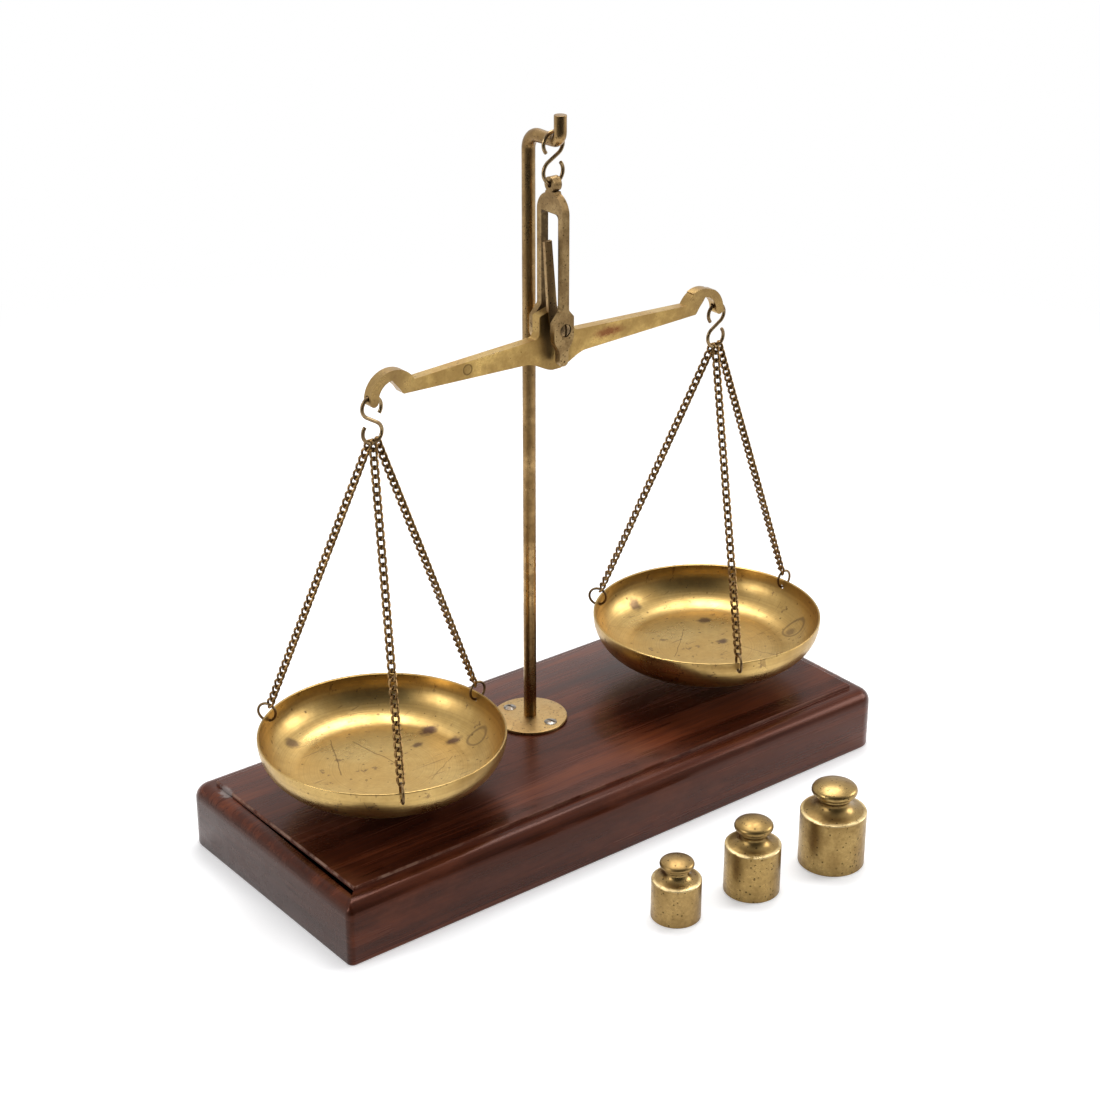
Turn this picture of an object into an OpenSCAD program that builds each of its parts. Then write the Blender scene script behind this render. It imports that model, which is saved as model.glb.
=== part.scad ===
// Beam balance: a brass beam that hangs from a bent pillar on a mahogany plinth,
// with two chained pans and three loose brass weights. Millimetres, +Z up.
// The origin is the middle of the plinth's underside; +X is to the right, +Y to the back.

/* [Plinth] */
// Length of the plinth, left to right
plinth_l = 305; // [290:1:360]
// Depth of the plinth, front to back
plinth_w = 128; // [116:1:170]
// Height of the plinth, up to its raised field
plinth_h = 31.4; // [26:0.2:38]
// Distance of the raised field's edge from the sides
field_inset = 8.9; // [7.4:0.1:14]
// Height of the step up to the raised field
field_step = 1.8; // [0.8:0.1:3]
// Radius of the moulding round the top edge
moulding_r = 6.4; // [3:0.1:7]
// Corner radius of the plinth, seen from above, at its crisp front left corner
corner_r = 3; // [1:0.5:6]
// Corner radius at the three worn corners
worn_corner_r = 8; // [3:0.5:12]

/* [Pillar] */
// How far right of the plinth's middle the pillar stands
pillar_x = 2.4; // [-20:0.2:20]
// How far behind the plinth's middle the pillar stands
pillar_y = 14.5; // [0:0.5:30]
// Diameter of the pillar rod
rod_d = 5.9; // [4.8:0.1:7]
// Diameter of the rod at the end of the arm
arm_end_d = 5.5; // [4.6:0.1:6.4]
// Gap between the plinth and the pans, from which the pillar takes its height
pan_clear = 13.72; // [10:0.02:18]
// Reach of the arm, from the pillar's axis to the hanging plane
arm_reach = 16.8; // [16:0.1:30]
// Centre line radius of the bend at the top of the pillar
bend_r = 7; // [5:0.5:10]
// Centre line radius of the upturned end
upturn_r = 4.5; // [3.6:0.1:6]
// Distance from the hanging plane to the axis of the upturned end
upturn_reach = 4.7; // [4.6:0.1:8]
// Height of the upturned end above the arm's axis
upturn_h = 11.6; // [8:0.2:18]
// Depth of the pillar's foot in the plinth
foot_depth = 12; // [6:0.5:18]

/* [Flange] */
// Diameter of the flange
flange_d = 35; // [30:0.5:44]
// Thickness of the flange
flange_t = 1.6; // [1:0.1:3]
// Distance of the screws from the pillar's axis
screw_ring_r = 11.8; // [9:0.1:13]
// Direction of the line through the two screws, from the X axis
screw_turn = -74; // [-90:1:90]
// Diameter of the flange screws' heads
screw_head_d = 6; // [4.6:0.1:7]
// Height of the flange screws' domed heads above the flange
screw_head_h = 0.8; // [0.4:0.1:1.4]
// Diameter of the flange screws' shanks
screw_shank_d = 3; // [2:0.1:4]
// Length of the flange screws below the flange
screw_depth = 12; // [6:0.5:18]

/* [Hooks] */
// Diameter of the wire of the S hooks
hook_wire_d = 1.65; // [1.2:0.05:1.7]
// Height of the top S hook, centre line to centre line
top_hook_h = 22.2; // [21.6:0.1:28]
// Centre line radius of the top S hook's lobes
top_lobe_r = 5.15; // [5:0.05:5.35]
// Height of the pans' S hooks, centre line to centre line
end_hook_h = 20.4; // [19.8:0.1:26]
// Centre line radius of the lobes of the pans' S hooks
end_lobe_r = 4.7; // [4.6:0.05:4.9]
// Angle below the middle of a lobe at which its wire ends
hook_mouth = 42; // [20:1:46]
// Gap left where a hook bears on what carries it
seat_gap = 0.12; // [0.05:0.01:0.2]

/* [Shackle] */
// Distance from the shackle's eye to the beam's pivot
shackle_l = 62.4; // [58:0.05:64]
// Width of the shackle, front to back
shackle_w = 17.6; // [16:0.1:20]
// Thickness of the shackle, left to right
shackle_t = 3.6; // [2.6:0.1:4]
// Thickness of each prong and cheek, front to back
prong_w = 3.2; // [2.6:0.1:3.8]
// Outer radius of the eye
eye_r = 3.3; // [2.6:0.1:4]
// Thickness of the eye, left to right
eye_t = 4.2; // [3.6:0.1:4.6]
// Diameter of the hole in the eye
eye_hole_d = 2.9; // [2.7:0.05:3.4]
// Distance from the eye to the window's top edge
window_drop = 12.2; // [10.4:0.1:16]
// Half the width of a cheek, left to right
cheek_half_w = 5.3; // [4.4:0.1:7]
// How far the cheeks and their tails stand to the left of the prongs
cheek_shift = 0.8; // [0:0.1:1.2]
// Height of the cheeks' shoulders above the pivot
cheek_rise = 9.4; // [8.4:0.1:12]
// Length of the cheeks' tails below the pivot
tail_l = 16; // [12:0.2:20]
// Half the width of a tail
tail_half_w = 2.35; // [1.6:0.05:3]

/* [Pivot] */
// Diameter of the pivot screws' noses, on which the beam turns
nose_d = 2.4; // [1.6:0.1:3]
// Gap round a nose in the beam's bore
nose_gap = 0.05; // [0.03:0.01:0.1]
// Depth that a nose reaches into the beam
nose_depth = 1.9; // [1:0.1:2.2]
// Diameter of the pivot screws' threaded shanks
pivot_shank_d = 3.4; // [2.8:0.1:4.2]
// Diameter of the pivot screws' heads
pivot_head_d = 5.5; // [4.6:0.1:6.4]
// Depth of the counterbore that a pivot screw's head sits in
pivot_head_h = 1.1; // [0.6:0.1:1.8]
// Height of a pivot screw's head above its cheek
pivot_head_proud = 0.3; // [0.1:0.1:0.8]
// Gap between a pivot screw's shoulder and the beam
shoulder_gap = 0.3; // [0.2:0.05:0.8]

/* [Beam] */
// Distance from the pivot to the middle of a beam end
half_span = 94.4; // [84:0.1:96]
// Thickness of the beam, front to back
beam_t = 4.8; // [4:0.1:5.6]
// Distance of the end holes below the pivot
hole_drop = 10.6; // [10:0.1:11.2]
// Diameter of the end holes
end_hole_d = 2.5; // [2.3:0.05:2.7]
// Outer radius of the curled ends
curl_r = 11.9; // [11.2:0.1:12.6]
// Thickness of the curled ends
curl_t = 4.2; // [3.6:0.1:4.4]
// Distance of the centre of a curl below the pivot
curl_drop = 12.3; // [12:0.05:12.6]
// Height of the hump above the pivot
hump_h = 8.2; // [7.4:0.1:10]
// Half the width of the hump
hump_half_w = 9.2; // [7.6:0.1:11]
// Distance of the arms' top edge below the pivot, at the hump
arm_top_in = 3.7; // [2.6:0.1:4.6]
// Distance of the arms' top edge below the pivot, at the curls
arm_top_out = 6.4; // [5.4:0.1:7.4]
// Distance of the arms' bottom edge below the pivot, at the bulge
arm_bottom_in = 13.8; // [12.6:0.1:15]
// Distance of the arms' bottom edge below the pivot, at the notch
arm_bottom_out = 11.7; // [10.8:0.1:12.6]
// Depth of the bulge under the pivot
bulge_h = 5.6; // [3:0.1:7]
// Half the width of the bulge
bulge_half_w = 17; // [13:0.5:24]

/* [Pointer] */
// Height of the pointer's tip above the pivot
pointer_h = 43; // [36:0.5:46]
// Height above the pivot of the pointer's foot, which is let into the hump's face
pointer_foot = 2.2; // [2.1:0.1:4]
// How far the pointer stands to the left of the pivot
pointer_shift = 1.5; // [0:0.1:2]
// How far the pointer stands proud of the hump's face
pointer_proud = 0.4; // [0.2:0.1:0.6]
// Width of the pointer at its foot
pointer_w = 4.8; // [3:0.1:6]
// Width of the pointer where its point begins
pointer_top_w = 3.8; // [2:0.1:5]
// Length of the point
point_l = 4; // [2:0.5:10]
// Thickness of the pointer
pointer_t = 1.7; // [1:0.1:2]
// Lean of the pointer to the left
pointer_lean = 4.6; // [0:0.1:8]

/* [Chains] */
// Number of links in each chain
chain_links = 39; // [32:1:40]
// Distance from link to link
link_pitch = 3.66; // [3.4:0.01:3.75]
// Diameter of the chain wire
link_wire_d = 1; // [0.7:0.05:1.1]
// Sideways play of the wire in a link's opening
link_slack = 0.3; // [0.2:0.05:0.5]
// Gap left between one link and the next
link_gap = 0.08; // [0.04:0.01:0.14]
// Distance along the hook's wire from one chain's first link to the next
link_spread = 2.1; // [2:0.05:2.3]
// Centre line radius of the rim rings
ring_r = 4.2; // [3.8:0.05:4.6]
// Lean of the rim rings outward from the vertical
ring_lean = 8; // [0:1:14]
// Diameter of the rim rings' wire
ring_wire_d = 1; // [0.8:0.05:1.2]

/* [Pans] */
// Outer radius of a pan
pan_r = 54.4; // [44:0.2:60]
// Depth of a pan
pan_depth = 19; // [14:0.2:22]
// Radius of the turn from a pan's wall to its floor
pan_turn_r = 18; // [8:0.5:19]
// Thickness of the sheet brass
pan_t = 0.8; // [0.6:0.1:1.2]
// Distance of the ring holes below the rim
ring_hole_drop = 3.9; // [3.4:0.1:5]
// Diameter of the ring holes
ring_hole_d = 2; // [1.8:0.05:2.4]
// Direction of the side ring, from the X axis
ring_turn = 4; // [-10:1:20]

/* [Weights] */
// Radius of the small weight
small_r = 10.85; // [8:0.05:13]
// Height of the small weight
small_h = 28.8; // [24:0.2:36]
// Radius of the middle weight
medium_r = 12.35; // [10:0.05:15]
// Height of the middle weight
medium_h = 35.4; // [29:0.2:42]
// Radius of the large weight
large_r = 14.75; // [12:0.05:18]
// Height of the large weight
large_h = 40; // [34:0.2:48]
// Distance of the weights' row from the plinth's front, to the nearest weight's middle
weights_out = 53.3; // [36:0.1:80]
// Place of the small weight along X
small_x = -21; // [-40:0.5:-14]
// Place of the middle weight along X
medium_x = 18.6; // [10:0.1:26]
// Place of the large weight along X
large_x = 62.3; // [54:0.1:90]
// How much further out each weight stands than the one before
weight_step = 4.7; // [0:0.1:10]

/* [Hidden] */
$fn = 64;

brass = "#b08d45";
dark_brass = "#8f7340";
mahogany = "#5a2a20";
steel = "#8b8781";

// A cut passes the face that it opens by this much
over = 1;
wire_fn = 24;
// Steps in an outline's quarter turn
turn_steps = 10;

// The plane in which the balance hangs, and the arm's thickness where the hook sits
hang_y = pillar_y - arm_reach;
tip_y = hang_y - upturn_reach;
seat_r = arm_end_d / 2 + (rod_d - arm_end_d) / 2
    * (hang_y - tip_y - upturn_r) / (arm_reach + upturn_reach - upturn_r - bend_r);
// Each link's inside length, and the straight line from the hook's wire to a rim ring's middle
link_l = link_pitch + link_gap;
link_seat = link_l / 2 - hook_wire_d / 2 - link_gap;
chain_l = 2 * link_seat + (chain_links - 1) * link_pitch + (hook_wire_d - ring_wire_d) / 2;
hang_l = chain_l + ring_r;
ring_out = pan_r - pan_t / 2 + ring_r * sin(ring_lean);
hang_drop = sqrt(hang_l * hang_l - ring_out * ring_out);

// Heights, from the pans up to the arm
rim_z = plinth_h + pan_clear + pan_depth;
pan_hang_z = rim_z - ring_hole_drop + ring_r * cos(ring_lean) + hang_drop;
pan_lobe_z = pan_hang_z + end_lobe_r;
end_lobe_z = pan_lobe_z + end_hook_h - 2 * end_lobe_r;
end_hole_z = end_lobe_z + end_hole_d / 2
    + sqrt(pow(end_lobe_r - hook_wire_d / 2 - seat_gap, 2) - pow(curl_t / 2, 2));
pivot_z = end_hole_z + hole_drop;
eye_z = pivot_z + shackle_l;
eye_lobe_z = eye_z + eye_hole_d / 2
    + sqrt(pow(top_lobe_r - hook_wire_d / 2 - seat_gap, 2) - pow(eye_t / 2, 2));
top_lobe_z = eye_lobe_z + top_hook_h - 2 * top_lobe_r;
arm_z = top_lobe_z + top_lobe_r - hook_wire_d / 2 - seat_r - seat_gap;

cheek_y = (shackle_w - prong_w) / 2;
window_half_w = shackle_w / 2 - prong_w;
bore_d = nose_d + 2 * nose_gap;
curl_x = half_span - curl_r + curl_t / 2;
curl_in = curl_r - curl_t;

// Order of the three chains of a pan: place along the hook's wire, and direction
CHAIN_SEATS = [1, -1, 0];
CHAIN_TURNS = [0, 120, -120];

function arc(cx, cy, r, a0, a1, n = turn_steps) =
    [for (i = [0:n]) let (a = a0 + (a1 - a0) * i / n) [cx + r * cos(a), cy + r * sin(a)]];
function flipped(points) = [for (i = [len(points) - 1:-1:0]) [-points[i][0], points[i][1]]];

// Stands an outline drawn in X and Z upright, its thickness centred on Y
module upright(t) {
    rotate([90, 0, 0]) translate([0, 0, -t / 2]) linear_extrude(t) children();
}

// Part of a ring of wire, in the XY plane, from the X axis on
module wire_arc(r, d, turn) {
    rotate_extrude(angle = turn) translate([r, 0]) circle(d = d, $fn = wire_fn);
}

// An S of wire in the XZ plane, centred on the origin, its upper mouth to the right
module s_wire(h, r, d) {
    turn = asin(r / (h / 2 - r));
    half_l = round(1000 * r * cos(turn) / sin(turn)) / 1000;
    rotate([90, 0, 0]) rotate([0, 0, turn]) {
        for (side = [0, 180]) rotate([0, 0, side]) translate([r, half_l, 0])
            rotate([180, 0, 180]) wire_arc(r, d, 180 + turn + hook_mouth);
        rotate([90, 0, 0]) translate([0, 0, -half_l])
            cylinder(d = d, h = 2 * half_l, $fn = wire_fn);
    }
}

// Mahogany block: moulded top edge, raised field, and holes for the pillar and screws
module plinth_section(w) {
    ledge_z = plinth_h - field_step;
    half = concat(
        [[w / 2, 0]],
        arc(w / 2 - moulding_r, ledge_z - moulding_r, moulding_r, 0, 90, 8),
        [[w / 2 - field_inset, ledge_z], [w / 2 - field_inset, plinth_h]]);
    polygon(concat(half, flipped(half)));
}

module plinth_plan() {
    function corner(x, y, r, a) = arc(x * (plinth_l / 2 - r), y * (plinth_w / 2 - r), r, a, a + 90, 6);
    polygon(concat(corner(1, 1, worn_corner_r, 0), corner(-1, 1, worn_corner_r, 90),
        corner(-1, -1, corner_r, 180), corner(1, -1, worn_corner_r, 270)));
}

module base_plinth() {
    color(mahogany) difference() {
        intersection() {
            upright(plinth_w) plinth_section(plinth_l);
            rotate([0, 0, 90]) upright(plinth_l) plinth_section(plinth_w);
            linear_extrude(plinth_h) plinth_plan();
        }
        translate([pillar_x, pillar_y, plinth_h - foot_depth]) cylinder(d = rod_d, h = foot_depth + over);
        at_flange_screws() translate([0, 0, -flange_t - screw_depth])
            cylinder(d = screw_shank_d, h = screw_depth + over);
    }
}

// Puts its children on top of the flange, at each screw
module at_flange_screws() {
    for (side = [0, 180])
        translate([pillar_x, pillar_y, plinth_h + flange_t]) rotate([0, 0, screw_turn + side])
            translate([screw_ring_r, 0, 0]) children();
}

module pillar_flange() {
    color(brass) difference() {
        translate([pillar_x, pillar_y, plinth_h]) cylinder(d = flange_d, h = flange_t);
        translate([pillar_x, pillar_y, plinth_h - over]) cylinder(d = rod_d, h = flange_t + 2 * over);
        at_flange_screws() translate([0, 0, -flange_t - over])
            cylinder(d = screw_shank_d, h = flange_t + 2 * over);
    }
}

module flange_screws() {
    slot_w = screw_head_d / 7;
    dome_r = (pow(screw_head_d / 2, 2) + pow(screw_head_h, 2)) / (2 * screw_head_h);
    color(steel) at_flange_screws() {
        difference() {
            intersection() {
                cylinder(d = screw_head_d, h = screw_head_h);
                translate([0, 0, screw_head_h - dome_r]) sphere(dome_r);
            }
            translate([-screw_head_d, -slot_w / 2, screw_head_h / 2])
                cube([2 * screw_head_d, slot_w, screw_head_h]);
        }
        translate([0, 0, -flange_t - screw_depth])
            cylinder(d = screw_shank_d, h = flange_t + screw_depth);
    }
}

// The rod stands in the plinth, bends forward into the arm and turns up at its end
module pillar_rod() {
    foot_z = plinth_h - foot_depth;
    color(dark_brass) translate([pillar_x, 0, 0]) {
        translate([0, pillar_y, foot_z]) cylinder(d = rod_d, h = arm_z - bend_r - foot_z);
        translate([0, pillar_y - bend_r, arm_z - bend_r]) rotate([90, 0, 90])
            wire_arc(bend_r, rod_d, 90);
        translate([0, pillar_y - bend_r, arm_z]) rotate([90, 0, 0])
            cylinder(d1 = rod_d, d2 = arm_end_d, h = pillar_y - bend_r - tip_y - upturn_r);
        translate([0, tip_y + upturn_r, arm_z + upturn_r]) rotate([90, 180, 90])
            wire_arc(upturn_r, arm_end_d, 90);
        translate([0, tip_y, arm_z + upturn_r]) cylinder(d = arm_end_d, h = upturn_h - upturn_r);
    }
}

module top_s_hook() {
    color(dark_brass) translate([pillar_x, hang_y, (top_lobe_z + eye_lobe_z) / 2])
        mirror([1, 0, 0]) s_wire(top_hook_h, top_lobe_r, hook_wire_d);
}

// The yoke's outline, front to back: eye, neck, round shoulders, and the window between its prongs
module yoke_outline() {
    neck = eye_r * 0.92;
    arch_z = shackle_w / 2 - eye_r;
    corner = 2;
    half = concat(
        arc(0, 0, eye_r - 0.2, 90, -20),
        [[neck, -eye_r * 0.9]],
        arc(0, -eye_r - shackle_w / 2 - 0.2, shackle_w / 2, 69, 0),
        [[shackle_w / 2, cheek_rise - shackle_l], [window_half_w, cheek_rise - shackle_l]],
        arc(window_half_w - corner, -window_drop - corner, corner, 0, 90, 6));
    polygon(concat(half, flipped(half)));
}

// Half of a cheek's outline, with the pivot at the origin: a hollow under the prong, a sloping
// shoulder, a straight side, a waist and a round tip
function cheek_half(w, tail_x) =
    let (flare_r = 2, slope = 1.15, straight_h = 3, waist_h = 7.5,
        flare_x = shackle_t / 2 + flare_r * (1 - cos(45)), flare_z = cheek_rise - flare_r * sin(45))
    concat(
        arc(shackle_t / 2 + flare_r, cheek_rise, flare_r, 180, 225, 4),
        [[w, flare_z - (w - flare_x) * slope]],
        [for (t = [0:0.125:1]) [tail_x + tail_half_w + (w - tail_x - tail_half_w) * (1 + cos(180 * t)) / 2,
            -straight_h - waist_h * t]],
        arc(tail_x, tail_half_w - tail_l, tail_half_w, 0, -90, 8));

module cheek_outline() {
    polygon(concat(cheek_half(cheek_half_w - cheek_shift, -cheek_shift),
        flipped(cheek_half(cheek_half_w + cheek_shift, cheek_shift))));
}

module shackle() {
    color(dark_brass) translate([pillar_x, hang_y, 0]) difference() {
        union() {
            translate([0, 0, eye_z]) rotate([0, 0, 90]) upright(shackle_t) yoke_outline();
            translate([-eye_t / 2, 0, eye_z]) rotate([0, 90, 0]) cylinder(r = eye_r, h = eye_t);
            for (side = [-1, 1]) translate([0, side * cheek_y, pivot_z]) upright(prong_w) cheek_outline();
        }
        translate([-eye_t, 0, eye_z]) rotate([0, 90, 0]) cylinder(d = eye_hole_d, h = 2 * eye_t);
        translate([0, shackle_w, pivot_z]) rotate([90, 0, 0]) cylinder(d = pivot_shank_d, h = 2 * shackle_w);
        for (side = [0, 180]) translate([0, 0, pivot_z]) rotate([0, 0, side])
            translate([0, pivot_head_h - shackle_w / 2, 0]) rotate([90, 0, 0])
                cylinder(d = pivot_head_d + 0.4, h = shackle_w);
    }
}

// Slotted screws, one through each cheek, whose plain noses carry the beam
module pivot_screw() {
    shoulder = shackle_w / 2 - beam_t / 2 - shoulder_gap;
    slot_w = pivot_head_d / 6;
    difference() {
        union() {
            translate([0, pivot_head_h, 0]) rotate([90, 0, 0])
                cylinder(d = pivot_head_d, h = pivot_head_h + pivot_head_proud);
            translate([0, shoulder, 0]) rotate([90, 0, 0])
                cylinder(d = pivot_shank_d, h = shoulder - pivot_head_h);
            translate([0, shoulder + shoulder_gap + nose_depth, 0]) rotate([90, 0, 0])
                cylinder(d = nose_d, h = nose_depth + shoulder_gap);
        }
        translate([-slot_w / 2, -pivot_head_proud - over, -pivot_head_d])
            cube([slot_w, over + 0.8, 2 * pivot_head_d]);
    }
}

module pivot_screws() {
    color(steel) translate([pillar_x, hang_y, pivot_z]) for (side = [0, 180]) rotate([0, 0, side])
        translate([0, -shackle_w / 2, 0]) pivot_screw();
}

// Half of the beam's outline, with the pivot at the origin; the hump's corner is cut off by cut
function beam_half(hump_w, cut) =
    let (fillet = 3, valley = 180 - asin((curl_drop - arm_top_out) / curl_r),
        notch_w = curl_x - curl_in * 0.63)
    concat(
        [[hump_half_w * 0.2, hump_h], [hump_w - cut, hump_h * 0.8], [hump_w, hump_h * 0.8 - cut]],
        arc(hump_w + fillet, fillet - arm_top_in, fillet, 180, 270, 6),
        arc(curl_x, -curl_drop, curl_r, valley, 0, 14),
        arc(half_span, -curl_drop, curl_t / 2, 0, -180, 8),
        arc(curl_x, -curl_drop, curl_in, 0, 84, 10),
        [[notch_w + curl_t, -curl_drop + curl_in * 0.74], [notch_w + curl_t / 2, -curl_drop + curl_in * 0.45],
            [notch_w + curl_t / 6, -curl_drop + curl_in * 0.16], [notch_w, -arm_bottom_out]],
        [for (t = [0:0.1:0.95])
            [bulge_half_w * (1 - t), -arm_bottom_in - bulge_h * (1 - cos(180 * t)) / 2]]);

module beam_outline() {
    polygon(concat(beam_half(hump_half_w - 0.9, 2.6), flipped(beam_half(hump_half_w, 0.7))));
}

module beam() {
    color(brass) translate([pillar_x, hang_y, pivot_z]) difference() {
        upright(beam_t) beam_outline();
        translate([0, beam_t, 0]) rotate([90, 0, 0]) cylinder(d = bore_d, h = 2 * beam_t);
        for (side = [-1, 1]) translate([side * half_span - curl_t, 0, -hole_drop]) rotate([0, 90, 0])
            cylinder(d = end_hole_d, h = 2 * curl_t);
        at_pointer() pointer_outline();
    }
}

// The pointer's thickness is let into the front of the hump, but for the part that stands proud
module at_pointer() {
    translate([-pointer_shift, pointer_t / 2 - pointer_proud - beam_t / 2, 0]) upright(pointer_t) children();
}

module pointer_outline() {
    rotate([0, 0, pointer_lean]) polygon([
        [-pointer_w / 2, pointer_foot], [pointer_w / 2, pointer_foot],
        [pointer_top_w / 2, pointer_h - point_l], [0, pointer_h], [-pointer_top_w / 2, pointer_h - point_l]]);
}

module pointer() {
    color(brass) translate([pillar_x, hang_y, pivot_z]) at_pointer() pointer_outline();
}

// The pans' hooks; the right one is turned the other way
module pan_hook(side) {
    color(dark_brass) translate([pillar_x + side * half_span, hang_y, (end_lobe_z + pan_lobe_z) / 2])
        mirror([(side + 1) / 2, 0, 0]) s_wire(end_hook_h, end_lobe_r, hook_wire_d);
}

module left_s_hook() { pan_hook(-1); }
module right_s_hook() { color(dark_brass) pan_hook(1); }

// A pan's solid bowl, its rim at z = 0; grown lets the same shape cut the inside
module bowl(r, depth, turn, grown) {
    rotate_extrude($fn = 120) polygon(concat(
        [[0, grown], [0, -depth]], arc(r - turn, turn - depth, turn, -90, 0, 12), [[r, grown]]));
}

// Turns to one of a pan's three rings, seen from the pan's axis
module pan_at(side) {
    translate([pillar_x + side * half_span, hang_y, rim_z]) children();
}

module pan(side) {
    color(brass) pan_at(side) difference() {
        bowl(pan_r, pan_depth, pan_turn_r, 0);
        bowl(pan_r - pan_t, pan_depth - pan_t, pan_turn_r - pan_t, over);
        for (turn = CHAIN_TURNS) rotate([0, 0, ring_turn + turn])
            translate([pan_r - pan_t - over, 0, -ring_hole_drop]) rotate([0, 90, 0])
                cylinder(d = ring_hole_d, h = pan_t + 2 * over);
    }
}

module left_pan() { pan(-1); }
module right_pan() { pan(1); }

// Where chain i of a pan sits on the hook's wire, from the pan's axis and the wire's lowest point
function seat(i) = let (x = CHAIN_SEATS[i] * link_spread)
    [x, 0, end_lobe_r - sqrt(end_lobe_r * end_lobe_r - x * x)];
function ring_middle(i) = let (a = ring_turn + CHAIN_TURNS[i])
    [ring_out * cos(a), ring_out * sin(a), -hang_drop];
function run(i) = ring_middle(i) - seat(i);
function run_turn(i) = atan2(run(i)[1], run(i)[0]);
function run_tilt(i) = acos(-run(i)[2] / norm(run(i)));

// Puts its children on the line of chain i, at a distance along it, with +Z down the chain
module on_run(side, i, along) {
    translate([pillar_x + side * half_span, hang_y, pan_hang_z] + seat(i))
        rotate([0, 0, run_turn(i)]) rotate([0, 180 - run_tilt(i), 0]) translate([0, 0, along]) children();
}

// One link, its length along Z and its opening across Y
module link(opening) {
    r = (opening + link_wire_d) / 2;
    straight = link_l - opening;
    rotate([0, 90, 0]) {
        for (end = [0, 180]) rotate([0, 0, end]) translate([straight / 2, 0, 0])
            rotate([0, 0, -90]) wire_arc(r, link_wire_d, 180);
        for (y = [-r, r]) translate([-straight / 2, y, 0]) rotate([0, 90, 0])
            cylinder(d = link_wire_d, h = straight, $fn = wire_fn);
    }
}

// The first link goes round the hook's wire and the last round the rim ring,
// and the chain's quarter turn from link to link is eased to suit both
module chain(side, i) {
    first_turn = atan2(cos(run_tilt(i)) * sin(run_turn(i)), cos(run_turn(i)));
    last_turn = round((first_turn + 90 * (chain_links - 1)) / 180) * 180;
    step = (last_turn - first_turn) / (chain_links - 1);
    pitch = (norm(run(i)) - ring_r - 2 * link_seat - (hook_wire_d - ring_wire_d) / 2)
        / (chain_links - 1);
    color(dark_brass) for (k = [0:chain_links - 1])
        on_run(side, i, link_seat + k * pitch) rotate([0, 0, first_turn + k * step])
            link((k == 0 ? hook_wire_d : link_wire_d) + link_slack);
}

// A rim ring goes through its hole in the pan and over the rim
module ring(side, i) {
    color(dark_brass) on_run(side, i, norm(run(i)))
        rotate([90, 0, 0]) rotate_extrude() translate([ring_r, 0]) circle(d = ring_wire_d, $fn = wire_fn);
}

module left_ring_side() { ring(-1, 0); }
module left_ring_back() { ring(-1, 1); }
module left_ring_front() { ring(-1, 2); }
module left_chain_side() { chain(-1, 0); }
module left_chain_back() { chain(-1, 1); }
module left_chain_front() { chain(-1, 2); }
module right_ring_side() { ring(1, 0); }
module right_ring_back() { ring(1, 1); }
module right_ring_front() { ring(1, 2); }
module right_chain_side() { chain(1, 0); }
module right_chain_back() { chain(1, 1); }
module right_chain_front() { chain(1, 2); }

// A turned brass weight: cylinder, sloping shoulder, neck and domed knob
module weight(r, h, x, row) {
    body_h = 0.65 * h;
    neck_r = 0.46 * r;
    knob_r = 0.69 * r;
    neck_z = body_h + 0.13 * h;
    knob_z = 0.88 * h;
    edge = 0.4;
    y = -plinth_w / 2 - weights_out - row * weight_step;
    color(brass) translate([x, y, 0]) rotate_extrude() polygon(concat(
        [[0, 0], [r - edge, 0], [r, edge], [r, body_h - edge], [r - edge, body_h],
            [neck_r + 0.12 * r, body_h + 0.06 * h], [neck_r, neck_z]],
        [[neck_r + 0.05 * r, knob_z - 0.06 * h], [knob_r - 0.06 * r, knob_z - 0.035 * h]],
        arc(knob_r - 0.06 * r, knob_z, 0.035 * h, -60, 60, 6),
        [for (a = [65:-13:0]) [knob_r * sin(a), h - 0.075 * h * (1 - cos(a)) / (1 - cos(65))]]));
}

module small_weight() { weight(small_r, small_h, small_x, 0); }
module medium_weight() { weight(medium_r, medium_h, medium_x, 1); }
module large_weight() { weight(large_r, large_h, large_x, 2); }

base_plinth();
pillar_flange();
flange_screws();
pillar_rod();
top_s_hook();
shackle();
pivot_screws();
beam();
pointer();
left_s_hook();
left_pan();
left_ring_side();
left_ring_back();
left_ring_front();
left_chain_side();
left_chain_back();
left_chain_front();
right_s_hook();
right_pan();
right_ring_side();
right_ring_back();
right_ring_front();
right_chain_side();
right_chain_back();
right_chain_front();
small_weight();
medium_weight();
large_weight();
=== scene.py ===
import math

import bmesh
import bpy
from mathutils import Euler, Matrix, Vector


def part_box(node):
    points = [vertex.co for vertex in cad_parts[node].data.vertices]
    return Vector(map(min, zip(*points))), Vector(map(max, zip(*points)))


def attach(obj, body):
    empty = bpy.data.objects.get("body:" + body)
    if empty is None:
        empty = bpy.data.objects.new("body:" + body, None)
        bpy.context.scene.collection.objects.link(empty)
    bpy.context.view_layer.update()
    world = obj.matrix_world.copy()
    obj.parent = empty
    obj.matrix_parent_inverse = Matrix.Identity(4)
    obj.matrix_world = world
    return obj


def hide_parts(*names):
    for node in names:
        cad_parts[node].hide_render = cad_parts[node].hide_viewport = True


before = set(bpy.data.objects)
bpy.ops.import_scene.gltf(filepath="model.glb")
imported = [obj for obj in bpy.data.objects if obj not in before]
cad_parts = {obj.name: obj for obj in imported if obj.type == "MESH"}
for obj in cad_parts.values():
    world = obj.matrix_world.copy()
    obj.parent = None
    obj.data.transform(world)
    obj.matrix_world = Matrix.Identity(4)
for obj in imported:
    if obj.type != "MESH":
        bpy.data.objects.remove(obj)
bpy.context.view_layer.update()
scene = bpy.context.scene
scene.view_settings.view_transform = "Standard"


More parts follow.
